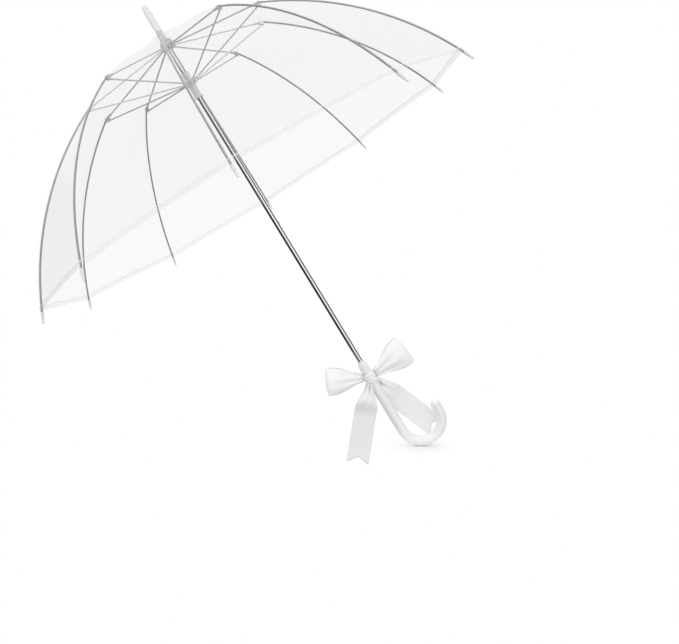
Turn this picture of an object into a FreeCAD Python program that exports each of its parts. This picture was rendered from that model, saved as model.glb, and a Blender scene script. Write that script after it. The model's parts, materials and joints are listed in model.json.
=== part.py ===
"""Clear bubble umbrella with a slide-up runner, ten ribs, a hooked handle and a ribbon bow.

Millimetres, +Z up the shaft to the ferrule. The origin is on the shaft's axis, halfway up the
straight part of the grip. The hook turns towards +X. The umbrella stands open.
"""
import FreeCAD, Part
import math
import os

# ---- Driving dimensions ----

# Overall
rib_count = 10
first_rib_degrees = 90.0          # the first rib points along +Y
shaft_showing = 645.0             # crown of the canopy to the top of the handle
canopy_radius = 400.0             # shaft axis to the canopy's edge, at a rib
canopy_depth = 294.0              # crown down to the canopy's edge, at a rib

# Shaft
shaft_radius = 4.25
shaft_wall = 0.5
shaft_in_ferrule = 24.0
shaft_in_handle = 42.0

# Ribs
rib_rod_radius = 1.5
clip_radius = 172.0               # shaft axis to the rib's clip, open
clip_drop = 42.0                  # crown down to the clip, open
outer_rib_bow = 28.0              # how far the outer rib's arc stands off its chord
closed_clip_radius = 16.0         # shaft axis to the clip and to the rib's tip, closed
tongue_thickness = 1.6            # the flattened ends of rods
tongue_length = 7.0
tongue_end_radius = 1.8

# Stretchers
stretcher_radius = 1.3
runner_drop = 80.0                # crown down to the runner's pivots, open

# Clips
clip_pivot_offset = 3.8           # the stretcher's rivet below the rib's rivet
rivet_radius = 0.8
clip_cheek = 0.8
clip_sleeve_wall = 0.8
clip_sleeve_length = 11.0
clip_nose_radius = 2.3            # the cheeks' round end about each rivet
clip_cheek_height = 3.2           # the cheeks' height where they leave the sleeve
rod_end_gap = 1.3                 # end of the inner rib's rod to the outer rib's eye

# Tips
tip_length = 18.5
tip_radius = 2.7
tip_nose_radius = 1.7
tip_bore_depth = 12.0

# Canopy
film_thickness = 0.3
crown_hole_radius = 6.0

# Ferrule and crown washers
ferrule_height = 74.0             # crown to the ferrule's tip
ferrule_radius = 6.2
ferrule_flange_radius = 8.0
ferrule_flange_height = 3.0
ferrule_nose_height = 14.0
ferrule_tip_radius = 4.6
ferrule_tip_rounding = 3.7
washer_radius = 10.5
washer_height = 2.4
washer_rounding = 0.8
pad_radius = 11.0
pad_height = 1.2

# Top notch
notch_radius = 12.0
notch_height = 10.0
notch_pivot_radius = 9.0
notch_pivot_depth = 6.5           # the pivot wire below the notch's top face
wire_radius = 0.5

# Runner
hub_radius = 12.0
hub_height = 8.0
hub_wire_radius = 8.2
neck_height = 15.0
sleeve_length = 26.0
sleeve_radius = 6.6
sleeve_collar_radius = 7.6
sleeve_collar_height = 3.0
catch_groove_radius = 6.0
catch_web_height = 4.0            # the ring under the groove, which the catches hold
catch_groove_width = 3.2

# Catches and stop
catch_thickness = 2.4
catch_nose_out = 1.5              # how far the nose stands out of the shaft
catch_nose_height = 9.0
catch_nose_flat = 2.0             # the nose's outer face, below its shoulder
catch_arm_length = 20.0           # nose shoulder to pivot
catch_arm_depth = 2.0
catch_press_degrees = 6.0
catch_slot_end = 1.5
stop_pin_radius = 1.0
stop_pin_out = 1.3

# Handle
handle_radius = 8.5
grip_length = 128.0
hook_radius = 35.0                # to the middle of the round section
hook_leg = 10.0
collar_radius = 7.4
collar_height = 9.0
collar_lip_radius = 8.2
collar_lip_height = 2.5
collar_top_wall = 1.6

# Bow
ribbon_width = 37.0
ribbon_thickness = 1.2
knot_drop = 21.0                  # top of the handle down to the middle of the knot
knot_height = 17.0
knot_wall = 2.6
loop_length = 78.0                # shaft axis to the loop's end
loop_forward = 4.0                # the loops' middle in front of the shaft's axis
loop_depth = 21.0
loop_belly = 35.0                 # shaft axis to where the loop is deepest
loop_belly_width = 29.6
loop_brow = 66.0                  # shaft axis to where it closes towards its end
loop_brow_depth = 16.8
loop_end_depth = 6.3
loop_neck_width = 15.0
loop_neck_depth = 6.0
left_loop_degrees = 148.0         # from +X towards +Z
right_loop_degrees = 9.0
left_tail_length = 136.0
right_tail_length = 128.0
left_tail_degrees = 226.0
right_tail_degrees = 291.0
tail_notch_depth = 10.0

# Clearances
press_clearance = 0.05            # parts pushed or crimped together
running_clearance = 0.1           # runner on shaft, tongue on rivet or wire
side_clearance = 0.3              # tongue between cheeks or teeth
film_clearance = 0.4              # film over clips
stack_clearance = 0.02            # faces that rest on each other
rest_clearance = 0.3              # catch nose to web, runner to stop
soft_clearance = 0.5              # ribbon to ribbon

# ---- Derived places ----

handle_top = grip_length / 2
crown = handle_top + shaft_showing
hook_centre = -grip_length / 2
rib_step = 360.0 / rib_count

crown_flat_radius = (pad_radius + film_clearance) / math.cos(math.radians(rib_step / 2))
film_over_rib = max(rib_rod_radius + clip_sleeve_wall, clip_nose_radius) + film_clearance
pad_top = crown - film_thickness - stack_clearance
notch_top = pad_top - pad_height - stack_clearance
washer_bottom = crown + stack_clearance
ferrule_bottom = washer_bottom + washer_height + stack_clearance

stretcher_end_radius = hub_wire_radius + wire_radius + side_clearance + stretcher_radius
rib_pivot = (notch_pivot_radius, notch_top - notch_pivot_depth)
clip_point = (clip_radius, crown - clip_drop)
rim_point = (canopy_radius, crown - canopy_depth)
hub_middle = crown - runner_drop


def angle_between(start, end):
    return math.atan2(end[1] - start[1], end[0] - start[0])


def distance(start, end):
    return math.hypot(end[0] - start[0], end[1] - start[1])


def along(start, angle, length, side=0.0):
    """The point a length along a direction, and a distance to its left."""
    x = start[0] + length * math.cos(angle) - side * math.sin(angle)
    z = start[1] + length * math.sin(angle) + side * math.cos(angle)
    return (x, z)


inner_angle = angle_between(rib_pivot, clip_point)
inner_length = distance(rib_pivot, clip_point)
stretcher_pivot = along(clip_point, inner_angle, 0.0, -clip_pivot_offset)
stretcher_foot = (stretcher_end_radius, hub_middle)
stretcher_angle = angle_between(stretcher_pivot, stretcher_foot)
stretcher_length = distance(stretcher_pivot, stretcher_foot)

outer_chord = distance(clip_point, rim_point)
outer_chord_angle = angle_between(clip_point, rim_point)
outer_bend = 2 * math.atan(2 * outer_rib_bow / outer_chord)
outer_radius = outer_chord / (2 * math.sin(outer_bend))
outer_start_angle = outer_chord_angle + outer_bend
outer_end_angle = outer_chord_angle - outer_bend

# Closed: the inner rib hangs down to the closed clip radius, the stretcher hangs from it beside the
# shaft, and the outer rib's chord hangs straight down.
closed_inner_angle = -math.acos((closed_clip_radius - notch_pivot_radius) / inner_length)
closed_clip = along(rib_pivot, closed_inner_angle, inner_length)
closed_stretcher_pivot = along(closed_clip, closed_inner_angle, 0.0, -clip_pivot_offset)
closed_stretcher_angle = -math.acos(
    (stretcher_end_radius - closed_stretcher_pivot[0]) / stretcher_length
)
closed_stretcher_foot = along(closed_stretcher_pivot, closed_stretcher_angle, stretcher_length)
runner_travel = stretcher_foot[1] - closed_stretcher_foot[1]
inner_fold = inner_angle - closed_inner_angle
stretcher_fold = (closed_stretcher_angle - closed_inner_angle) - (stretcher_angle - inner_angle)
stretcher_fold = stretcher_fold % (2 * math.pi)
outer_fold = (-math.pi / 2 - closed_inner_angle) - (outer_chord_angle - inner_angle)

sleeve_bottom = hub_middle - hub_height / 2 - sleeve_length
neck_top = hub_middle + hub_height / 2 + neck_height
stop_pin_height = neck_top + rest_clearance + stop_pin_radius
upper_shoulder = sleeve_bottom - rest_clearance
lower_shoulder = sleeve_bottom - runner_travel + catch_web_height + rest_clearance
knot_middle = handle_top - knot_drop

# ---- Helpers ----

up = FreeCAD.Vector(0, 0, 1)
zero = FreeCAD.Vector(0, 0, 0)


def on_plane(point, y=0.0):
    """A point of the XZ plane, given as (x, z), in space."""
    return FreeCAD.Vector(point[0], y, point[1])


def cylinder(radius, bottom, top):
    return Part.makeCylinder(radius, top - bottom, FreeCAD.Vector(0, 0, bottom))


def tube(outer, inner, bottom, top):
    return cylinder(outer, bottom, top).cut(cylinder(inner, bottom, top))


def rod(start, end, radius):
    """A round rod between two points of the XZ plane."""
    line = on_plane(end) - on_plane(start)
    return Part.makeCylinder(radius, line.Length, on_plane(start), line)


def plate(face, thickness):
    """A face in the XZ plane, thickened evenly to both sides."""
    solid = face.extrude(FreeCAD.Vector(0, thickness, 0))
    solid.translate(FreeCAD.Vector(0, -thickness / 2, 0))
    return solid


def polygon(points):
    corners = [on_plane(point) for point in points]
    return Part.Face(Part.makePolygon(corners + corners[:1]))


def cross_pin(centre, radius, length):
    """A pin across the XZ plane."""
    base = on_plane(centre, -length / 2)
    return Part.makeCylinder(radius, length, base, FreeCAD.Vector(0, 1, 0))


def revolved(points):
    """A solid of revolution about the shaft's axis, from (radius, height) corners."""
    return polygon(points).revolve(zero, up, 360)


def lies_at(edge, height):
    """Whether an edge lies flat at a height."""
    box = edge.BoundBox
    return abs(box.ZMin - height) < 0.01 and abs(box.ZMax - height) < 0.01


def tongue(pivot, angle, half_height, hole_radius):
    """The flattened, pierced end of a rod: a round end at the pivot, then a bar along the rod."""
    bar = polygon(
        [
            along(pivot, angle, 0.0, half_height),
            along(pivot, angle, tongue_length, half_height),
            along(pivot, angle, tongue_length, -half_height),
            along(pivot, angle, 0.0, -half_height),
        ]
    )
    body = plate(bar, tongue_thickness).fuse(cross_pin(pivot, tongue_end_radius, tongue_thickness))
    return body.cut(cross_pin(pivot, hole_radius, 2 * tongue_thickness)).removeSplitter()


def round_rib(shape, number):
    """A copy of a shape, turned to the rib of that number."""
    turned = shape.copy()
    turned.rotate(zero, up, first_rib_degrees + number * rib_step)
    return turned


def between_ribs(shape, number):
    turned = shape.copy()
    turned.rotate(zero, up, first_rib_degrees + (number + 0.5) * rib_step)
    return turned


# ---- Ribs, clips, stretchers, tips ----


def arc_point(angle, lift):
    """The point of the outer rib's arc with that tangent angle, or a height above it."""
    centre = along(clip_point, outer_start_angle, 0.0, -outer_radius)
    return along(centre, angle, 0.0, outer_radius + lift)


def make_inner_rib():
    """The straight rod from the notch's wire to the clip."""
    rod_start = along(rib_pivot, inner_angle, tongue_length)
    rod_end = along(clip_point, inner_angle, -tongue_end_radius - rod_end_gap)
    eye = tongue(rib_pivot, inner_angle, rib_rod_radius, wire_radius + running_clearance)
    return eye.fuse(rod(rod_start, rod_end, rib_rod_radius)).removeSplitter()


def make_clip():
    """A sleeve crimped on the inner rib, with two cheeks that hold both rivets."""
    rod_end = along(clip_point, inner_angle, -tongue_end_radius - rod_end_gap)
    sleeve_start = along(rod_end, inner_angle, -clip_sleeve_length)
    sleeve_radius_outer = rib_rod_radius + clip_sleeve_wall
    sleeve = rod(sleeve_start, rod_end, sleeve_radius_outer)
    gap = tongue_thickness + 2 * side_clearance
    width = gap + 2 * clip_cheek
    cheek_back = along(rod_end, inner_angle, -clip_sleeve_length / 2)
    outline = polygon(
        [
            along(cheek_back, inner_angle, 0.0, clip_cheek_height / 2),
            along(clip_point, inner_angle, 0.0, clip_nose_radius),
            along(stretcher_pivot, inner_angle, clip_nose_radius, 0.0),
            along(stretcher_pivot, inner_angle, 0.0, -clip_nose_radius),
            along(cheek_back, inner_angle, 0.0, -clip_cheek_height / 2),
        ]
    )
    body = plate(outline, width)
    body = body.fuse(cross_pin(clip_point, clip_nose_radius, width))
    body = body.fuse(cross_pin(stretcher_pivot, clip_nose_radius, width))
    space = polygon(
        [
            along(rod_end, inner_angle, 0.0, 4 * clip_nose_radius),
            along(rod_end, inner_angle, 10 * clip_nose_radius, 4 * clip_nose_radius),
            along(rod_end, inner_angle, 10 * clip_nose_radius, -6 * clip_nose_radius),
            along(rod_end, inner_angle, -2 * clip_sleeve_length, -6 * clip_nose_radius),
            along(rod_end, inner_angle, -2 * clip_sleeve_length, -sleeve_radius_outer),
            along(rod_end, inner_angle, 0.0, -sleeve_radius_outer),
        ]
    )
    body = body.cut(plate(space, gap)).fuse(sleeve)
    body = body.cut(rod(sleeve_start, rod_end, rib_rod_radius))
    for centre in (clip_point, stretcher_pivot):
        body = body.cut(cross_pin(centre, rivet_radius, 2 * width))
    return body.removeSplitter()


def make_rivet(centre):
    width = tongue_thickness + 2 * side_clearance + 2 * clip_cheek
    return cross_pin(centre, rivet_radius, width)


def make_stretcher():
    """A straight rod, pierced for the clip's rivet at one end and flattened at its foot."""
    rod_start = along(stretcher_pivot, stretcher_angle, tongue_length)
    foot_start = along(stretcher_foot, stretcher_angle, -tongue_length)
    hole = rivet_radius + running_clearance
    eye = tongue(stretcher_pivot, stretcher_angle, stretcher_radius, hole)
    foot = polygon(
        [
            along(foot_start, stretcher_angle, 0.0, stretcher_radius),
            along(stretcher_foot, stretcher_angle, 0.0, stretcher_radius),
            along(stretcher_foot, stretcher_angle, 0.0, -stretcher_radius),
            along(foot_start, stretcher_angle, 0.0, -stretcher_radius),
        ]
    )
    body = eye.fuse(rod(rod_start, foot_start, stretcher_radius)).fuse(plate(foot, tongue_thickness))
    return body.removeSplitter()


def make_outer_rib():
    """The curved spring rod from the clip to the canopy's edge, and on into the tip."""
    hole = rivet_radius + running_clearance
    start_angle = outer_start_angle - tongue_length / outer_radius
    start = arc_point(start_angle, 0.0)
    middle = arc_point((start_angle + outer_end_angle) / 2, 0.0)
    path = Part.Wire([Part.Arc(on_plane(start), on_plane(middle), on_plane(rim_point)).toShape()])
    tangent = on_plane((math.cos(start_angle), math.sin(start_angle)))
    section = Part.Wire([Part.Circle(on_plane(start), tangent, rib_rod_radius).toShape()])
    arc_rod = path.makePipeShell([section], True, True)
    end = along(rim_point, outer_end_angle, tip_bore_depth)
    eye = tongue(clip_point, angle_between(clip_point, start), rib_rod_radius, hole)
    body = arc_rod.fuse(rod(rim_point, end, rib_rod_radius)).fuse(eye)
    return body.removeSplitter()


def make_tip():
    """A blunt cap on the rod's end, just past the canopy's edge."""
    base = along(rim_point, outer_end_angle, side_clearance)
    direction = on_plane((math.cos(outer_end_angle), math.sin(outer_end_angle)))
    cone_length = tip_length - tip_nose_radius
    cone = Part.makeCone(tip_radius, tip_nose_radius, cone_length, on_plane(base), direction)
    nose = Part.makeSphere(tip_nose_radius, on_plane(along(base, outer_end_angle, cone_length)))
    bore_end = along(rim_point, outer_end_angle, tip_bore_depth + press_clearance)
    bore = rod(base, bore_end, rib_rod_radius + press_clearance)
    return cone.fuse(nose).cut(bore).removeSplitter()


# ---- Canopy ----


def film_points(height):
    """Points of the film over a rib, at a height above its underside, from the crown to the edge."""
    lift = film_over_rib + height
    hole = (crown_hole_radius, crown - film_thickness + height)
    shoulder = (crown_flat_radius, hole[1])
    over_clip = arc_point(outer_start_angle, lift)
    middle = arc_point((outer_start_angle + outer_end_angle) / 2, lift)
    over_rim = arc_point(outer_end_angle, lift)
    return [on_plane(point) for point in (hole, shoulder, over_clip, middle, over_rim)]


def make_panel():
    """One gore of film, flat across between two neighbouring ribs."""
    low = film_points(0.0)
    high = film_points(film_thickness)
    section = Part.Wire(
        [
            Part.makeLine(low[0], low[1]),
            Part.makeLine(low[1], low[2]),
            Part.Arc(low[2], low[3], low[4]).toShape(),
            Part.makeLine(low[4], high[4]),
            Part.Arc(high[4], high[3], high[2]).toShape(),
            Part.makeLine(high[2], high[1]),
            Part.makeLine(high[1], high[0]),
            Part.makeLine(high[0], low[0]),
        ]
    )
    sides = []
    for half in (-0.5, 0.5):
        side = section.copy()
        side.rotate(zero, up, half * rib_step)
        sides.append(side)
    return Part.makeLoft(sides, True, True)


# ---- Crown and shaft ----


def make_ferrule():
    outside = revolved(
        [
            (0.0, ferrule_bottom),
            (ferrule_flange_radius, ferrule_bottom),
            (ferrule_flange_radius, ferrule_bottom + ferrule_flange_height),
            (ferrule_radius, ferrule_bottom + ferrule_flange_height),
            (ferrule_radius, crown + ferrule_height - ferrule_nose_height),
            (ferrule_tip_radius, crown + ferrule_height),
            (0.0, crown + ferrule_height),
        ]
    )
    tip_edges = [
        edge
        for edge in outside.Edges
        if lies_at(edge, crown + ferrule_height)
        and edge.BoundBox.XLength > ferrule_tip_radius
    ]
    outside = outside.makeFillet(ferrule_tip_rounding, tip_edges)
    bore_top = crown + shaft_in_ferrule + press_clearance
    return outside.cut(cylinder(shaft_radius + press_clearance, ferrule_bottom, bore_top))


def make_washer():
    top = washer_bottom + washer_height
    body = tube(washer_radius, shaft_radius + press_clearance, washer_bottom, top)
    rim = [
        edge
        for edge in body.Edges
        if lies_at(edge, top)
        and edge.BoundBox.XLength > washer_radius
    ]
    return body.makeFillet(washer_rounding, rim)


def make_pad():
    """The soft disc that backs the film's centre. The film's hole lies round the shaft above it."""
    return tube(pad_radius, shaft_radius + press_clearance, pad_top - pad_height, pad_top)


def slots(width, floor_radius, outer, bottom, top):
    """Radial slots, one at each rib."""
    length = outer - floor_radius + 1.0
    slot = Part.makeBox(length, width, top - bottom, FreeCAD.Vector(floor_radius, -width / 2, bottom))
    return Part.makeCompound([round_rib(slot, number) for number in range(rib_count)])


def wire_groove(ring_radius, outer, height):
    half = wire_radius + press_clearance
    return tube(outer + 1.0, ring_radius - half, height - half, height + half)


def make_notch():
    body = tube(notch_radius, shaft_radius + press_clearance, notch_top - notch_height, notch_top)
    floor = notch_pivot_radius - tongue_end_radius - side_clearance
    slot_top = rib_pivot[1] + tongue_end_radius + side_clearance
    width = tongue_thickness + 2 * side_clearance
    body = body.cut(slots(width, floor, notch_radius, notch_top - notch_height - 1.0, slot_top))
    return body.cut(wire_groove(notch_pivot_radius, notch_radius, rib_pivot[1]))


def make_wire(ring_radius, height):
    return Part.makeTorus(ring_radius, wire_radius, FreeCAD.Vector(0, 0, height))


def catch_slot(shoulder, direction):
    """The slot in the shaft that a catch's nose stands out of."""
    width = catch_thickness + 2 * side_clearance
    shoulder_end = shoulder + direction * catch_slot_end
    far_end = shoulder - direction * (catch_nose_height + catch_slot_end)
    bottom = min(shoulder_end, far_end)
    height = abs(shoulder_end - far_end)
    return Part.makeBox(2 * shaft_radius, width, height, FreeCAD.Vector(0, -width / 2, bottom))


def make_shaft():
    bottom = handle_top - shaft_in_handle
    body = tube(shaft_radius, shaft_radius - shaft_wall, bottom, crown + shaft_in_ferrule)
    body = body.cut(catch_slot(upper_shoulder, 1))
    body = body.cut(catch_slot(lower_shoulder, -1))
    hole = cross_pin((0.0, stop_pin_height), stop_pin_radius + press_clearance, 4 * shaft_radius)
    return body.cut(hole)


def make_stop_pin():
    return cross_pin((0.0, stop_pin_height), stop_pin_radius, 2 * (shaft_radius + stop_pin_out))


def make_catch(shoulder, direction):
    """A sprung latch inside the shaft: an arm from its pivot, and a nose with a square shoulder.

    The direction is +1 for a shoulder that faces up and -1 for one that faces down.
    """
    nose_x = shaft_radius + catch_nose_out
    ramp_end = shoulder - direction * catch_nose_height
    pivot_z = shoulder - direction * catch_arm_length
    face = polygon(
        [
            (0.0, shoulder),
            (nose_x, shoulder),
            (nose_x, shoulder - direction * catch_nose_flat),
            (shaft_radius - shaft_wall - side_clearance, ramp_end),
            (catch_arm_depth, ramp_end - direction),
            (catch_arm_depth / 2, pivot_z),
            (-catch_arm_depth / 2, pivot_z),
            (-catch_arm_depth / 2, shoulder - direction * catch_nose_height / 2),
        ]
    )
    pivot = cross_pin((0.0, pivot_z), catch_arm_depth, catch_thickness)
    return plate(face, catch_thickness).fuse(pivot).removeSplitter()


def make_runner():
    outside = revolved(
        [
            (0.0, sleeve_bottom),
            (sleeve_collar_radius, sleeve_bottom),
            (sleeve_collar_radius, sleeve_bottom + sleeve_collar_height),
            (sleeve_radius, sleeve_bottom + sleeve_collar_height),
            (sleeve_radius, hub_middle - hub_height / 2),
            (hub_radius, hub_middle - hub_height / 2),
            (hub_radius, hub_middle + hub_height / 2),
            (sleeve_radius, hub_middle + hub_height / 2),
            (sleeve_radius, neck_top),
            (0.0, neck_top),
        ]
    )
    bore = cylinder(shaft_radius + running_clearance, sleeve_bottom - 1.0, neck_top + 1.0)
    hub_low = hub_middle - hub_height / 2
    width = 2 * (stretcher_radius + side_clearance)
    floor = sleeve_radius + side_clearance
    body = outside.cut(bore).cut(slots(width, floor, hub_radius, hub_low, hub_low + hub_height))
    body = body.cut(wire_groove(hub_wire_radius, hub_radius, hub_middle))
    groove_bottom = sleeve_bottom + catch_web_height
    groove_corner = FreeCAD.Vector(0, -catch_groove_width / 2, groove_bottom)
    groove_height = neck_top - groove_bottom + 1.0
    return body.cut(
        Part.makeBox(catch_groove_radius, catch_groove_width, groove_height, groove_corner))


# ---- Handle ----


def make_handle():
    """A round bar bent into a hook, with a rounded end and a socket for the shaft."""
    grip = cylinder(handle_radius, hook_centre, handle_top)
    centre = FreeCAD.Vector(hook_radius, 0, hook_centre)
    ring = Part.makeTorus(hook_radius, handle_radius, centre, FreeCAD.Vector(0, 1, 0))
    reach = hook_radius + 2 * handle_radius
    corner = FreeCAD.Vector(hook_radius - reach, -reach, hook_centre - reach)
    bend = ring.common(Part.makeBox(2 * reach, 2 * reach, reach, corner))
    leg_base = FreeCAD.Vector(2 * hook_radius, 0, hook_centre)
    leg = Part.makeCylinder(handle_radius, hook_leg, leg_base)
    end = Part.makeSphere(handle_radius, leg_base + FreeCAD.Vector(0, 0, hook_leg))
    socket_bottom = handle_top - shaft_in_handle - press_clearance
    socket = cylinder(shaft_radius + press_clearance, socket_bottom, handle_top + 1.0)
    return grip.fuse(bend).fuse(leg).fuse(end).cut(socket).removeSplitter()


def make_collar():
    """The stepped ring that closes the top of the handle round the shaft."""
    low = handle_top + stack_clearance
    outside = revolved(
        [
            (0.0, low),
            (collar_lip_radius, low),
            (collar_lip_radius, low + collar_lip_height),
            (collar_radius, low + collar_lip_height),
            (shaft_radius + collar_top_wall, low + collar_height),
            (0.0, low + collar_height),
        ]
    )
    return outside.cut(cylinder(shaft_radius + press_clearance, low, low + collar_height))


# ---- Bow ----


def make_knot():
    """The ribbon's turn round the handle."""
    inner = handle_radius + press_clearance
    return tube(inner + knot_wall, inner, knot_middle - knot_height / 2, knot_middle + knot_height / 2)


def make_loop(degrees):
    """One loop of the bow, narrow at the knot and as wide as the ribbon at its end."""
    tilt = math.radians(degrees)
    knot_side = handle_radius + press_clearance + knot_wall + soft_clearance
    neck_corner = loop_neck_width / 2 * abs(math.sin(tilt))
    reach = (knot_side + neck_corner) / abs(math.cos(tilt))
    sections = (
        (reach, loop_neck_width, loop_neck_depth),
        (loop_belly, loop_belly_width, loop_depth),
        (loop_brow, ribbon_width, loop_brow_depth),
        (loop_length, ribbon_width, loop_end_depth),
    )
    wires = []
    for x, width, depth in sections:
        corners = [
            FreeCAD.Vector(x, -depth / 2, -width / 2),
            FreeCAD.Vector(x, depth / 2, -width / 2),
            FreeCAD.Vector(x, depth / 2, width / 2),
            FreeCAD.Vector(x, -depth / 2, width / 2),
        ]
        wires.append(Part.makePolygon(corners + corners[:1]))
    body = Part.makeLoft(wires, True, True)
    body.rotate(zero, FreeCAD.Vector(0, -1, 0), degrees)
    body.translate(FreeCAD.Vector(0, -loop_forward, knot_middle))
    return body


def make_tail(degrees, length, y):
    """A free ribbon end, cut to a swallowtail."""
    start = handle_radius + knot_wall
    half = ribbon_width / 2
    neck = loop_neck_width / 2
    face = polygon(
        [
            (start, -neck),
            (start + half, -half),
            (length, -half),
            (length - tail_notch_depth, 0.0),
            (length, half),
            (start + half, half),
            (start, neck),
        ]
    )
    body = plate(face, ribbon_thickness)
    body.rotate(zero, FreeCAD.Vector(0, -1, 0), degrees)
    body.translate(FreeCAD.Vector(0, y, knot_middle))
    return body


# ---- Write every node ----


def save(name, solids):
    shape = solids[0] if len(solids) == 1 else Part.makeCompound(solids)
    shape.exportStep(f"parts/{name}.step")
    faults = [solid for solid in shape.Solids if not solid.isValid()]
    print(f"{name}: {len(shape.Solids)} solid(s), {shape.Volume:.1f} mm3, faults {len(faults)}")


os.makedirs("parts", exist_ok=True)

inner_rib = [make_inner_rib(), make_clip(), make_rivet(clip_point), make_rivet(stretcher_pivot)]
outer_rib = make_outer_rib()
stretcher = make_stretcher()
tip = make_tip()
panel = make_panel()
for number in range(rib_count):
    save(f"rib_inner_{number + 1:02d}", [round_rib(solid, number) for solid in inner_rib])
    save(f"rib_outer_{number + 1:02d}", [round_rib(outer_rib, number)])
    save(f"stretcher_{number + 1:02d}", [round_rib(stretcher, number)])
    save(f"rib_tip_{number + 1:02d}", [round_rib(tip, number)])
save("canopy", [between_ribs(panel, number) for number in range(rib_count)])

save("shaft_tube", [make_shaft()])
save("ferrule", [make_ferrule()])
save("canopy_washer", [make_washer()])
save("crown_pad", [make_pad()])
save("top_notch", [make_notch()])
save("notch_wire", [make_wire(notch_pivot_radius, rib_pivot[1])])
save("stop_pin", [make_stop_pin()])
save("runner", [make_runner()])
save("runner_wire", [make_wire(hub_wire_radius, hub_middle)])
save("upper_catch", [make_catch(upper_shoulder, 1)])
save("lower_catch", [make_catch(lower_shoulder, -1)])

save("handle", [make_handle()])
save("handle_collar", [make_collar()])
save("bow_knot", [make_knot()])
save("bow_loop_left", [make_loop(left_loop_degrees)])
save("bow_loop_right", [make_loop(right_loop_degrees)])
tail_offset = handle_radius + press_clearance + knot_wall + ribbon_thickness / 2 + soft_clearance
save("bow_tail_left", [make_tail(left_tail_degrees, left_tail_length, -tail_offset)])
save("bow_tail_right", [make_tail(right_tail_degrees, right_tail_length, tail_offset)])
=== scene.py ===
import json
import math
import bmesh
import bpy
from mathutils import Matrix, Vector, noise


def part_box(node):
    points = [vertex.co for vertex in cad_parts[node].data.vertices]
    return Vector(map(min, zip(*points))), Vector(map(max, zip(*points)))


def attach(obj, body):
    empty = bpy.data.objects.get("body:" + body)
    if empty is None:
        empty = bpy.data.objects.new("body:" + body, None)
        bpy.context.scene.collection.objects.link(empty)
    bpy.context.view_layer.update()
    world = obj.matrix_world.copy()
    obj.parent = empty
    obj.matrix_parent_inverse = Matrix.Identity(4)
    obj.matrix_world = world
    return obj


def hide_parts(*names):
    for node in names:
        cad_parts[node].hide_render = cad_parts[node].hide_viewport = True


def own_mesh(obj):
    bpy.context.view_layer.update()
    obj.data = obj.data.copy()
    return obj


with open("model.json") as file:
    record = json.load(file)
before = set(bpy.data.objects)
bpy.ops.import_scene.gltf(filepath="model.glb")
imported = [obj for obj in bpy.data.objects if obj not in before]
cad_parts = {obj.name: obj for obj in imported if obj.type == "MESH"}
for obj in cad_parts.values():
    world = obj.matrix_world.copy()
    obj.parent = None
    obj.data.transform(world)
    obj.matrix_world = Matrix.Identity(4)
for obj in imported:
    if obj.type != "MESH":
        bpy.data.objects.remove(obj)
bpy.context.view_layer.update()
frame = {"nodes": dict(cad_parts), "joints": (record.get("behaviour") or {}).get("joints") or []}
nodes = frame["nodes"]
joints = {joint["name"]: joint for joint in frame["joints"]}
print("frame loaded:", len(nodes), "nodes")

# places that the frame gives
ribNumbers = sorted(name[-2:] for name in joints if name.startswith("rib_fold_"))
ribCount = len(ribNumbers)
knotLow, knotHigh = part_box("bow_knot")
knotMiddle = (knotLow + knotHigh) / 2
canopyLow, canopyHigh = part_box("canopy")


def ribDirection(index):
    place = Vector(joints["rib_flex_" + ribNumbers[index % ribCount]]["pos_m"])
    return Vector((place.x, place.y, 0)).normalized()


def mix(start, end, share):
    return start + (end - start) * share


def ease(value, low=0.0, high=1.0):
    share = min(1.0, max(0.0, (value - low) / (high - low)))
    return share * share * (3 - 2 * share)


# camera

cameraView = {
    "place": (0.0282, -1.256, 0.2925),
    "turn": (90.849, 31.422, 2.867),  # degrees about X, Y and Z
    "lens": 39.155,
    "shift": (0.0938, -0.105),
}


def makeCamera():
    data = bpy.data.cameras.new("camera")
    data.lens = cameraView["lens"]
    data.shift_x, data.shift_y = cameraView["shift"]
    data.clip_start, data.clip_end = 0.05, 20
    camera = bpy.data.objects.new("camera", data)
    camera.location = cameraView["place"]
    camera.rotation_euler = [math.radians(angle) for angle in cameraView["turn"]]
    bpy.context.scene.collection.objects.link(camera)
    bpy.context.scene.camera = camera
    bpy.context.view_layer.update()
    return camera


camera = makeCamera()
cameraTurn = camera.matrix_world.to_3x3()
cameraUp = cameraTurn.col[1].copy()
print("camera set")


# shader maths: a wire is a socket, and arithmetic on it adds Math nodes

class Wire:
    def __init__(self, finish, socket):
        self.finish = finish
        self.socket = socket

    def math(self, operation, *values, clamp=False):
        settings = {"operation": operation, "use_clamp": clamp}
        inputs = dict(enumerate((self, *values)))
        return self.finish.node("ShaderNodeMath", settings, inputs)

    def __add__(self, other):
        return self.math("ADD", other)

    def __sub__(self, other):
        return self.math("SUBTRACT", other)

    def __mul__(self, other):
        return self.math("MULTIPLY", other)

    def __radd__(self, other):
        return self.math("ADD", other)

    def __rmul__(self, other):
        return self.math("MULTIPLY", other)

    def __rsub__(self, other):
        return self.finish.node("ShaderNodeMath", {"operation": "SUBTRACT"}, {0: other, 1: self})

    def output(self, index):
        return Wire(self.finish, self.socket.node.outputs[index])

    def between(self, low, high):
        inputs = {"Value": self, "From Min": low, "From Max": high}
        return self.finish.node("ShaderNodeMapRange", {"interpolation_type": "SMOOTHSTEP"}, inputs)


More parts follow.
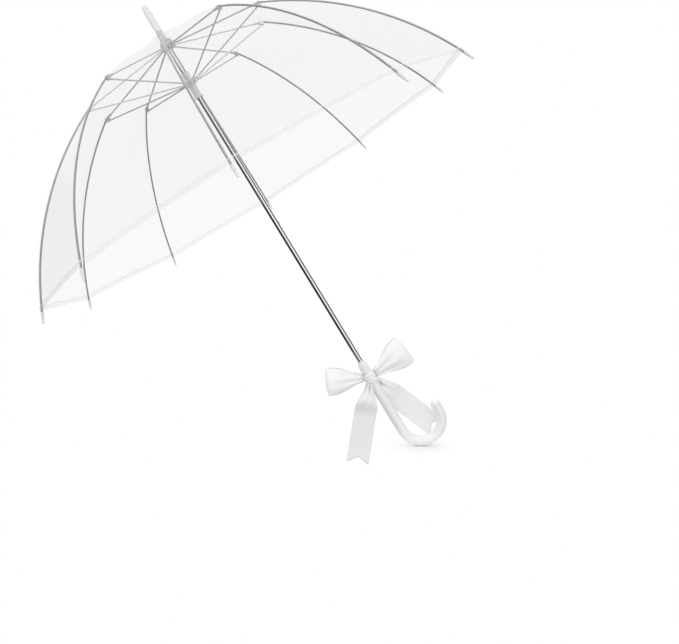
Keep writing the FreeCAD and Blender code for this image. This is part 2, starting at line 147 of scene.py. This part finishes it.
class Finish:
    def __init__(self, name, tree=None):
        if tree is None:
            self.material = bpy.data.materials.new(name)
            self.material.use_nodes = True
            tree = self.material.node_tree
        self.tree = tree
        self.tree.nodes.clear()

    def node(self, kind, settings=None, inputs=None, output=0):
        made = self.tree.nodes.new(kind)
        for key, value in (settings or {}).items():
            setattr(made, key, value)
        for key, value in (inputs or {}).items():
            if isinstance(value, Wire):
                self.tree.links.new(value.socket, made.inputs[key])
            else:
                made.inputs[key].default_value = value
        return Wire(self, made.outputs[output]) if made.outputs else None

    def coordinates(self, output="Object"):
        return self.node("ShaderNodeTexCoord", output=output)

    def speckle(self, scale, detail=3.0, stretch=(1, 1, 1), output="Object"):
        vector = self.node("ShaderNodeMapping", None,
                           {"Vector": self.coordinates(output), "Scale": stretch})
        return self.node("ShaderNodeTexNoise", None,
                         {"Vector": vector, "Scale": scale, "Detail": detail})

    def tint(self, share, first, second):
        return self.node("ShaderNodeMix", {"data_type": "RGBA"},
                         {"Factor": share, 6: (*first, 1), 7: (*second, 1)}, output=2)

    def bump(self, height, strength, distance):
        return self.node("ShaderNodeBump", None,
                         {"Height": height, "Strength": strength, "Distance": distance})

    def principled(self, **inputs):
        named = {key.replace("_", " "): value for key, value in inputs.items()}
        return self.node("ShaderNodeBsdfPrincipled", None, named)

    def surface(self, shader):
        self.node("ShaderNodeOutputMaterial", None, {"Surface": shader})
        return self.material


def grey(level):
    return (level, level, level, 1)


def makeChrome():
    finish = Finish("chromedSteel")
    drawn = finish.speckle(900, 2, (1, 1, 0.01))  # drawing lines along the tube
    smears = finish.speckle(22, 4, (1, 1, 0.3))
    return finish.surface(finish.principled(
        Base_Color=finish.tint(smears, (0.80, 0.81, 0.82), (0.90, 0.90, 0.91)),
        Metallic=1.0,
        Roughness=0.05 + smears * 0.05 + drawn * 0.02,
        Normal=finish.bump(drawn, 0.05, 0.0001),
    ))


def makeRibSteel(name, dark, light):
    finish = Finish(name)
    drawn = finish.speckle(260, 3)
    worn = finish.speckle(38, 4).between(0.5, 0.72)
    return finish.surface(finish.principled(
        Base_Color=finish.tint(worn * 0.6 + drawn * 0.25, (dark, dark, dark * 1.02),
                               (light, light, light * 1.02)),
        Metallic=0.45,
        Roughness=0.26 + drawn * 0.14 - worn * 0.05,
        Normal=finish.bump(drawn, 0.12, 0.0002),
    ))


def makeMoulded(name, level, roughness, coat=0.3):
    finish = Finish(name)
    flow = finish.speckle(9, 4, (1, 1, 0.35))
    grain = finish.speckle(650, 2)
    return finish.surface(finish.principled(
        Base_Color=finish.tint(flow, (level * 0.97, level * 0.975, level * 0.98),
                               (level * 1.02, level * 1.02, level * 1.015)),
        Roughness=roughness + flow * 0.07 + grain * 0.03,
        Coat_Weight=coat,
        Coat_Roughness=0.08,
        Normal=finish.bump(grain, 0.06, 0.0001),
    ))


def makeFrosted(name, level, veil, edge):
    finish = Finish(name)
    flow = finish.speckle(26, 3)
    rim = finish.node("ShaderNodeLayerWeight", None, {"Blend": 0.35}, output=1)
    body = finish.principled(
        Base_Color=finish.tint(flow, (level * 0.97,) * 3, (level * 1.02,) * 3),
        Roughness=0.22 + flow * 0.08,
        Coat_Weight=0.2,
        Normal=finish.bump(finish.speckle(420, 2), 0.08, 0.0001),
    )
    clear = finish.node("ShaderNodeBsdfTransparent", None, {"Color": grey(0.97)})
    share = (rim * edge + flow * 0.06).math("ADD", veil, clamp=True)
    return finish.surface(finish.node("ShaderNodeMixShader", None, {0: share, 1: clear, 2: body}))


# the film's UV map holds metres: x from the rib, y up from the hem's edge
filmFinish = {
    "veil": 0.062,
    "rim": 0.12,  # extra veil where the film is seen edge on
    "hemVeil": 0.005,
    "hemWidth": 0.008,
    "weldVeil": 0.03,
    "weldWidth": 0.0035,
    "seamVeil": 0.24,
    "seamNear": 0.0004,  # from the top of the hem to where the seam starts to fade
    "seamFar": 0.0022,
    "cloudVeil": 0.03,
    "streakVeil": 0.02,
    "meanMist": 0.025,  # what clouds and streaks add on average
    "level": 0.84,
    "seamLevel": 0.98,
}


def makeFilm():
    finish = Finish("clearFilm")
    across = finish.node("ShaderNodeSeparateXYZ", None, {0: finish.coordinates("UV")})
    upward = across.output(1)
    hem = 1 - upward.between(filmFinish["hemWidth"] * 0.9, filmFinish["hemWidth"] * 1.1)
    fromSeam = (upward - filmFinish["hemWidth"]).math("ABSOLUTE")
    seam = 1 - fromSeam.between(filmFinish["seamNear"], filmFinish["seamFar"])
    weld = 1 - across.between(filmFinish["weldWidth"] * 0.8, filmFinish["weldWidth"] * 1.2)
    clouds = finish.speckle(5, 3)
    streaks = finish.speckle(16, 4, (1, 1, 0.25))
    ripples = finish.speckle(11, 3, (1, 1, 0.4))
    facing = finish.node("ShaderNodeLayerWeight", None, {"Blend": 0.5}, output=1)
    grazing = facing * facing * facing
    mist = clouds * filmFinish["cloudVeil"] + streaks * filmFinish["streakVeil"]
    veil = mist + hem * filmFinish["hemVeil"] + seam * filmFinish["seamVeil"]
    veil = veil + weld * filmFinish["weldVeil"] + grazing * filmFinish["rim"]
    share = veil.math("ADD", filmFinish["veil"] - filmFinish["meanMist"], clamp=True)
    level = filmFinish["level"]
    body = finish.principled(
        Base_Color=finish.tint(seam * 0.9 + streaks * 0.1,
                               (level * 0.97, level * 0.975, level * 0.98),
                               (filmFinish["seamLevel"],) * 3),
        Roughness=0.10 + clouds * 0.08 + hem * 0.1,
        Specular_IOR_Level=0.6,
        Normal=finish.bump(ripples + weld * 0.2, 0.35, 0.004),
    )
    clear = finish.node("ShaderNodeBsdfTransparent", None, {"Color": grey(0.97)})
    return finish.surface(finish.node("ShaderNodeMixShader", None, {0: share, 1: clear, 2: body}))


def makeSatin():
    finish = Finish("whiteSatin")
    weave = finish.node("ShaderNodeTexWave", {"bands_direction": "X"},
                        {"Vector": finish.coordinates("UV"), "Scale": 900.0, "Distortion": 0.6,
                         "Detail": 1.0})
    slubs = finish.speckle(240, 3, (0.12, 1, 1), "UV")
    drape = finish.speckle(30, 2)
    edge = finish.node("ShaderNodeSeparateXYZ", None, {0: finish.coordinates("UV")}).output(1)
    selvedge = 1 - edge.between(0.0008, 0.0014)
    return finish.surface(finish.principled(
        Base_Color=finish.tint(drape * 0.5 + slubs * 0.4, (0.91, 0.915, 0.92), (0.96, 0.96, 0.96)),
        Roughness=0.40 + slubs * 0.12 + selvedge * 0.1,
        Specular_IOR_Level=0.35,
        Sheen_Weight=0.35,
        Sheen_Roughness=0.4,
        Normal=finish.bump(weave * 0.5 + slubs * 0.4 + selvedge * 1.2, 0.22, 0.0002),
    ))


chrome = makeChrome()
ribSteel = makeRibSteel("coatedRibSteel", 0.36, 0.55)
innerSteel = makeRibSteel("thinRibSteel", 0.76, 0.92)
stretcherSteel = makeRibSteel("stretcherSteel", 0.70, 0.90)
wireSteel = makeRibSteel("wireSteel", 0.55, 0.78)
handlePlastic = makeMoulded("whiteHandlePlastic", 0.90, 0.22)
collarPlastic = makeMoulded("paleCollarPlastic", 0.88, 0.3)
notchPlastic = makeMoulded("notchPlastic", 0.62, 0.35)
washerPlastic = makeMoulded("washerPlastic", 0.48, 0.35)
ferrulePlastic = makeFrosted("frostedFerrulePlastic", 0.97, 0.42, 0.5)
runnerPlastic = makeFrosted("frostedRunnerPlastic", 0.92, 0.50, 0.4)
tipPlastic = makeFrosted("frostedTipPlastic", 0.97, 0.74, 0.2)
padFilm = makeFrosted("frostedPadFilm", 0.8, 0.45, 0.3)
clearFilm = makeFilm()
satin = makeSatin()
print("finishes made:", len(bpy.data.materials))


def paint(name, material):
    node = nodes[name]
    node.data.materials.clear()
    node.data.materials.append(material)


cadFinishes = {
    "shaft_tube": chrome,
    "ferrule": ferrulePlastic,
    "canopy_washer": washerPlastic,
    "crown_pad": padFilm,
    "top_notch": notchPlastic,
    "notch_wire": wireSteel,
    "stop_pin": wireSteel,
    "runner": runnerPlastic,
    "runner_wire": wireSteel,
    "upper_catch": wireSteel,
    "lower_catch": wireSteel,
    "handle": handlePlastic,
    "handle_collar": collarPlastic,
}
for number in ribNumbers:
    cadFinishes["rib_inner_" + number] = innerSteel
    cadFinishes["rib_outer_" + number] = ribSteel
    cadFinishes["stretcher_" + number] = stretcherSteel
    cadFinishes["rib_tip_" + number] = tipPlastic
for name, material in cadFinishes.items():
    paint(name, material)


# sheets: a grid whose vertices are placed from their shares across (u) and along (v)

def addSheet(build, columns, rows, place, uvPlace):
    uvLayer = build.loops.layers.uv.verify()
    made = bmesh.ops.create_grid(build, x_segments=columns, y_segments=rows, size=0.5)["verts"]
    shares = {vert: (vert.co.x + 0.5, vert.co.y + 0.5) for vert in made}
    for face in {face for vert in made for face in vert.link_faces}:
        face.smooth = True
        for loop in face.loops:
            loop[uvLayer].uv = uvPlace(*shares[loop.vert])
    for vert, (u, v) in shares.items():
        vert.co = place(u, v)
    return shares


def finishMesh(build, name, material):
    data = bpy.data.meshes.new(name)
    build.to_mesh(data)
    build.free()
    data.materials.append(material)
    piece = bpy.data.objects.new(name, data)
    bpy.context.scene.collection.objects.link(piece)
    return piece


# canopy: the film over a rib follows the same line at every rib, and lies straight from rib to rib

canopy = {
    "bow": 0.0281,  # the outer rib's arc off its chord
    "lift": 0.0028,  # film over the middle of the rib
    "crownHole": 0.006,
    "crownFlat": 0.0125,
    "crownBulge": 0.008,  # how far the film domes between crown and clips
    "pullIn": 0.004,  # how far the film's middle draws in between ribs
    "scallop": 0.002,  # how far the hem rises between tips
    "ripple": 0.0011,
    "warp": 0.0135,  # how far the lines across a gore run down towards its middle
    "columns": 9,
    "rowLength": 0.011,
    "gathered": 0.07,  # share of its width that the film keeps when closed
    "hemDepth": 0.008,
    "hemStand": 0.0005,
    "inset": 0.0001,  # film inside the CAD film's outer faces
    "crownSpread": 0.007,  # how far the film's curve reaches either side of the crown's corner
    "clipSpread": 0.02,
    "crownEnds": 0.06,
    "leastSpread": 0.0005,
    "normalStep": 0.01,
    "rippleScale": (14, 14, 7),
}


def filmLine():
    clip = joints["rib_flex_01"]["pos_m"]
    start = Vector((math.hypot(clip[0], clip[1]), clip[2]))
    end = Vector((canopyHigh.y - canopy["inset"], canopyLow.z + canopy["inset"]))
    chord = end - start
    bend = 2 * math.atan(2 * canopy["bow"] / chord.length)
    slope = math.atan2(chord.y, chord.x) + bend
    overClip = start + canopy["lift"] * Vector((-math.sin(slope), math.cos(slope)))
    chord = end - overClip
    bend = 2 * math.atan(2 * canopy["bow"] / chord.length)
    radius = chord.length / (2 * math.sin(bend))
    slope = math.atan2(chord.y, chord.x) + bend
    centre = overClip - radius * Vector((-math.sin(slope), math.cos(slope)))
    crown = canopyHigh.z - canopy["inset"]
    hole = Vector((canopy["crownHole"], crown))
    shoulder = Vector((canopy["crownFlat"], crown))
    flat = (shoulder - hole).length
    straight = (overClip - shoulder).length
    return {"hole": hole, "shoulder": shoulder, "overClip": overClip, "centre": centre,
            "radius": radius, "slope": slope, "flat": flat, "clipAt": flat + straight,
            "length": flat + straight + 2 * bend * radius}


line = filmLine()


def onLine(distance):
    if distance <= line["flat"]:
        return line["hole"].lerp(line["shoulder"], distance / line["flat"])
    if distance <= line["clipAt"]:
        share = (distance - line["flat"]) / (line["clipAt"] - line["flat"])
        return line["shoulder"].lerp(line["overClip"], share)
    angle = line["slope"] - (distance - line["clipAt"]) / line["radius"]
    return line["centre"] + line["radius"] * Vector((-math.sin(angle), math.cos(angle)))


def roundedLine(distance):
    # the film bridges the corners at the crown and at the clips in a soft curve
    spread = canopy["crownSpread"] if distance < canopy["crownEnds"] else canopy["clipSpread"]
    spread = min(spread, distance, line["length"] - distance)
    if spread < canopy["leastSpread"]:
        return onLine(distance)
    ahead, behind = onLine(distance + spread), onLine(distance - spread)
    return onLine(distance) * 0.5 + (ahead + behind) * 0.25


def filmPoint(index, side, distance, share):
    # share 0 lies on the rib and 0.5 on the middle of the gore
    middle = 4 * share * (1 - share)
    upShare = distance / line["length"]
    distance = distance - canopy["scallop"] * middle * upShare ** 8
    radius, height = roundedLine(distance)
    domeShare = (distance - line["flat"]) / (line["clipAt"] - line["flat"])
    height += canopy["crownBulge"] * math.sin(math.pi * min(1.0, max(0.0, domeShare))) ** 1.5
    here, there = ribDirection(index), ribDirection(index + side)
    flatPlace = here.lerp(there, share) * radius
    outward = Vector((flatPlace.x, flatPlace.y, 0)).normalized()
    steep = ease(upShare, 0.1, 0.9)
    inward = canopy["pullIn"] * middle * math.sin(math.pi * min(1.0, upShare * 1.05)) ** 0.8
    place = Vector((flatPlace.x, flatPlace.y, height))
    place -= (outward * mix(0.3, 0.85, steep) + Vector((0, 0, mix(0.95, 0.5, steep)))) * inward
    wave = noise.noise(place * Vector(canopy["rippleScale"]))
    place += outward * (wave * canopy["ripple"] * middle * ease(upShare, 0.05, 0.3))
    return place


def filmNormal(index, side, distance, share):
    step = canopy["normalStep"]
    low, high = max(distance - step, 0.0), min(distance + step, line["length"])
    along = filmPoint(index, side, high, share) - filmPoint(index, side, low, share)
    across = (filmPoint(index, side, distance, share + step)
              - filmPoint(index, side, distance, max(share - step, 0.0)))
    return (along.cross(across) * side).normalized()


def warped(distance, share):
    return distance + canopy["warp"] * 2 * share * math.sin(math.pi * distance / line["length"])


def chordWidth(distance):
    return 2 * onLine(distance)[0] * math.sin(math.pi / ribCount)


def foldAxis(index, side, low, high):
    # across the rib's own line, towards the middle of the gore
    chord = (ribDirection(index + side) - ribDirection(index)).normalized()
    start, end = onLine(low), onLine(high)
    direction = ribDirection(index)
    tangent = (direction * (end.x - start.x) + Vector((0, 0, end.y - start.y))).normalized()
    return (chord - tangent * chord.dot(tangent)).normalized()


def makeFilmPiece(name, index, side, low, high, body, hem=False):
    rows = max(3, round((high - low) / canopy["rowLength"]))
    build = bmesh.new()
    spots = {}  # each vertex's distance down the rib's line and share of the gore's width

    def place(u, v):
        return filmPoint(index, side, warped(mix(low, high, v), u / 2), u / 2)

    def uvPlace(u, v):
        distance = warped(mix(low, high, v), u / 2)
        return (u / 2 * chordWidth(distance), line["length"] - distance)

    shares = addSheet(build, canopy["columns"], rows, place, uvPlace)
    for vert, (u, v) in shares.items():
        spots[vert] = (warped(mix(low, high, v), u / 2), u / 2)
    if hem:
        hemLow = high - canopy["hemDepth"]

        def hemPlace(u, v):
            distance = mix(hemLow, high, v)
            lift = filmNormal(index, side, distance, u / 2) * canopy["hemStand"]
            return filmPoint(index, side, distance, u / 2) + lift

        def hemUv(u, v):
            distance = mix(hemLow, high, v)
            return (u / 2 * chordWidth(distance), line["length"] - distance)

        for vert, (u, v) in addSheet(build, canopy["columns"], 2, hemPlace, hemUv).items():
            spots[vert] = (mix(hemLow, high, v), u / 2)
    if side > 0:
        bmesh.ops.reverse_faces(build, faces=build.faces)
    build.verts.index_update()
    normals = [None] * len(build.verts)
    for vert, (distance, share) in spots.items():
        normals[vert.index] = filmNormal(index, side, distance, share)
    piece = finishMesh(build, name, clearFilm)
    piece.data.normals_split_custom_set_from_vertices(normals)
    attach(piece, body)
    middle = (low + high) / 2
    anchorLine = (onLine(low) + onLine(high) + 2 * onLine(middle)) / 4
    anchor = ribDirection(index) * anchorLine.x + Vector((0, 0, anchorLine.y))
    foldAxis(index, side, low, high)
    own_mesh(piece)
    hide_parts("canopy")
    width = chordWidth(high) / 2
    area = (high - low) * (chordWidth(low) + chordWidth(high)) / 4
    high - low
    "rib_inner_" + ribNumbers[index]
    "rib_outer_" + ribNumbers[index]
    min(area, width * (high - low))
    return piece


def makeCanopy():
    middle = (line["clipAt"] + line["length"]) / 2
    for index, number in enumerate(ribNumbers):
        for side, hand in ((1, "left"), (-1, "right")):
            stem = f"film_{number}_{hand}"
            makeFilmPiece(stem + "_upper", index, side, 0.0, line["clipAt"], "inner_" + number)
            makeFilmPiece(stem + "_middle", index, side, line["clipAt"], middle, "outer_" + number)
            makeFilmPiece(stem + "_lower", index, side, middle, line["length"], "outer_" + number,
                          hem=True)


makeCanopy()
print("canopy made")


# bow: one satin ribbon tied round the handle's neck

bow = {
    "width": 0.037,
    "neck": 0.014,
    "thickness": 0.0004,
    "leftLoop": {"angle": 155.0, "length": 0.073, "depth": 0.024, "endWidth": 0.042, "roll": 0.10,
                 "lean": 0.9, "tilt": 0.08},
    "rightLoop": {"angle": 6.0, "length": 0.075, "depth": 0.026, "endWidth": 0.048, "roll": 0.35,
                  "lean": -0.9, "tilt": -0.22},
    "leftTail": {"angle": 230.0, "length": 0.146, "front": 0.0135, "sway": 0.003, "notch": 0.011},
    "rightTail": {"angle": 291.0, "length": 0.145, "front": -0.0135, "sway": 0.0035,
                  "notch": 0.010},
    "knotOut": 0.0108,
    "pleat": 0.0031,
    "pleatCount": 5,
    "loopFront": 0.004,
    "loopLean": 0.012,
    "loopSpread": 2.35,  # ribbon in a loop for each length that it reaches out
    "tailLift": 0.010,
    "tailCup": 0.0016,
    "rows": 20,
    "loopColumns": 44,
    "tailColumns": 48,
    "knotColumns": 64,
}
knot = {
    "crease": 0.0007,
    "edgeTuck": 0.0021,
    "squeeze": 0.08,
    "slant": 0.0018,
}
toFront = Vector((0, -1, 0))


def spokes(angle):
    turn = math.radians(angle)
    return Vector((math.cos(turn), 0, math.sin(turn))), Vector((-math.sin(turn), 0, math.cos(turn)))


def pleats(v, depth, phase=0.0):
    return depth * math.cos(bow["pleatCount"] * math.pi * v + phase)


def makeLoop(name, size, node):
    outward, sideways = spokes(size["angle"])
    start = bow["knotOut"]
    reach = size["length"] - start

    def place(u, v):
        # u runs out along the front, round the end and back behind
        across = 2 * v - 1
        out = math.sin(math.pi * u) ** 0.85
        front = math.sin(2 * math.pi * u)
        width = mix(bow["neck"], size["endWidth"], ease(out, -0.05, 0.85)) / 2
        depth = size["depth"] / 2 * front * (1 - 0.7 * across * across)
        crease = pleats(v, bow["pleat"] * (1 - out) ** 1.2) + size["roll"] * across * width * 0.25
        curl = size["lean"] * bow["loopLean"] * out * across + size["tilt"] * reach * out
        bulge = 1 + 0.04 * (1 - across * across) * out
        return (knotMiddle + outward * (start + reach * out * bulge)
                + sideways * (across * width)
                + toFront * (bow["loopFront"] + depth + crease * (1 if u < 0.5 else -0.6) + curl))

    length = bow["loopSpread"] * reach

    def uvPlace(u, v):
        return (u * length, min(v, 1 - v) * bow["width"])

    build = bmesh.new()
    addSheet(build, bow["loopColumns"], bow["rows"], place, uvPlace)
    piece = finishMesh(build, name, satin)
    dressRibbon(piece, node)


def makeTail(name, size, node):
    outward, sideways = spokes(size["angle"])
    start = bow["knotOut"] * 0.9

    def place(u, v):
        across = 2 * v - 1
        length = size["length"] - size["notch"] * (1 - abs(across)) * ease(u, 0.5, 1.0)
        out = mix(start, length, u)
        width = mix(bow["neck"] * 0.9, bow["width"], ease(u, 0.0, 0.3)) / 2
        crease = pleats(v, bow["pleat"] * 1.5 * (1 - ease(u, 0.0, 0.34)), 0.6)
        lift = bow["tailLift"] * math.sin(math.pi * ease(u, 0.0, 0.42)) ** 1.3
        sway = size["sway"] * math.sin(5.0 * u + 0.5) * u
        cup = bow["tailCup"] * across * across * (1 - u)
        return (knotMiddle + outward * out + sideways * across * width
                + toFront * (size["front"] + crease + (lift + sway - cup)))

    length = size["length"] - start

    def uvPlace(u, v):
        return (u * length, min(v, 1 - v) * bow["width"])

    build = bmesh.new()
    addSheet(build, bow["tailColumns"], bow["rows"], place, uvPlace)
    piece = finishMesh(build, name, satin)
    dressRibbon(piece, node)


def dressRibbon(piece, node):
    thicken = piece.modifiers.new("ribbonThickness", "SOLIDIFY")
    thicken.thickness = bow["thickness"]
    thicken.offset = 0
    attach(piece, "shaft")
    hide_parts(node)


def makeKnot():
    radius = (knotHigh.x - knotLow.x) / 2
    height = knotHigh.z - knotLow.z
    girth = 2 * math.pi * radius

    def place(u, v):
        # a tube of ribbon pulled tight, its edges tucked in and its face pleated
        turn = 2 * math.pi * u
        across = 2 * v - 1
        crease = knot["crease"] * math.cos(3.5 * math.pi * across + 1.3 * math.sin(turn))
        bulge = radius - knot["edgeTuck"] * across ** 4 + crease
        squeeze = 1 - knot["squeeze"] * math.cos(2 * turn)
        slant = knot["slant"] * math.sin(turn)
        return knotMiddle + Vector((bulge * math.cos(turn), bulge * math.sin(turn),
                                    across * height / 2 * squeeze + slant))

    def uvPlace(u, v):
        return (u * girth, min(v, 1 - v) * height)

    build = bmesh.new()
    addSheet(build, bow["knotColumns"], bow["rows"], place, uvPlace)
    bmesh.ops.remove_doubles(build, verts=build.verts, dist=0.00001)
    bmesh.ops.recalc_face_normals(build, faces=build.faces)
    piece = finishMesh(build, "bow_knot_ribbon", satin)
    dressRibbon(piece, "bow_knot")


makeLoop("bow_left_loop", bow["leftLoop"], "bow_loop_left")
makeLoop("bow_right_loop", bow["rightLoop"], "bow_loop_right")
makeTail("bow_left_tail", bow["leftTail"], "bow_tail_left")
makeTail("bow_right_tail", bow["rightTail"], "bow_tail_right")
makeKnot()
print("bow made")


# stage: a pale disc under the hook, and soft light from all round, darker at the sides

stage = {
    "radius": 0.075,
    "fill": 1.14,
    "topLight": 0.60,
    "softFlag": 0.55,
    "hardFlag": 0.97,
    "leftFlag": (0.25, 0.45),  # where each flag fades in, as the cosine to the level side
    "rightFlag": (0.72, 0.86),
    "edgeFlag": (0.70, 0.98),
    "floorGap": 0.0002,
    "fade": (0.35, 0.95),  # shares of the radius between which the disc fades out
    "glow": 0.05,
}


def makeFloor():
    corners = [vert.co for vert in nodes["handle"].data.vertices]
    lowest = min(corners, key=lambda place: place.dot(cameraUp))
    build = bmesh.new()
    bmesh.ops.create_circle(build, cap_ends=True, segments=64, radius=stage["radius"])
    turn = cameraUp.to_track_quat("Z", "Y").to_matrix()
    bmesh.ops.rotate(build, verts=build.verts, matrix=turn)
    bmesh.ops.translate(build, verts=build.verts, vec=lowest - cameraUp * stage["floorGap"])
    finish = Finish("paleFloor")
    away = finish.node("ShaderNodeVectorMath", {"operation": "DISTANCE"},
                       {0: finish.coordinates(), 1: lowest}, output=1)
    shade = 1 - away.between(*(stage["radius"] * share for share in stage["fade"]))
    body = finish.principled(
        Base_Color=grey(0.9), Roughness=0.9, Specular_IOR_Level=0.0,
        Emission_Color=grey(1.0), Emission_Strength=stage["glow"])
    clear = finish.node("ShaderNodeBsdfTransparent", None, {"Color": grey(1.0)})
    finish.surface(finish.node("ShaderNodeMixShader", None, {0: shade, 1: clear, 2: body}))
    floor = finishMesh(build, "floor", finish.material)


def makeLight():
    world = bpy.data.worlds.new("studio")
    bpy.context.scene.world = world
    world.use_nodes = True
    sky = Finish("studio", world.node_tree)
    direction = sky.coordinates("Generated")

    def towards(vector):
        return sky.node("ShaderNodeVectorMath", {"operation": "DOT_PRODUCT"},
                        {0: direction, 1: vector}, output=1)

    # mirrored rays see hard dark flags, other rays soft dark edges, and the camera plain white
    side = Vector((0, 0, 1)).cross(cameraTurn.col[2]).normalized()
    across = towards(side)
    flags = (across * -1).between(*stage["leftFlag"]) + across.between(*stage["rightFlag"])
    edges = across.math("ABSOLUTE").between(*stage["edgeFlag"])
    mirrored = sky.node("ShaderNodeLightPath", output=3)
    shade = mirrored * flags * stage["hardFlag"] + (1 - mirrored) * edges * stage["softFlag"]
    level = (stage["fill"] + towards(cameraUp) * stage["topLight"]) * (1 - shade)
    light = sky.node("ShaderNodeBackground", None, {"Strength": level})
    white = sky.node("ShaderNodeBackground", None, {"Color": grey(1.0), "Strength": 1.0})
    seen = sky.node("ShaderNodeLightPath")
    mixed = sky.node("ShaderNodeMixShader", None, {0: seen, 1: light, 2: white})
    sky.node("ShaderNodeOutputWorld", None, {"Surface": mixed})


makeFloor()
makeLight()
bpy.context.scene.view_settings.view_transform = "Standard"
print("stage set")
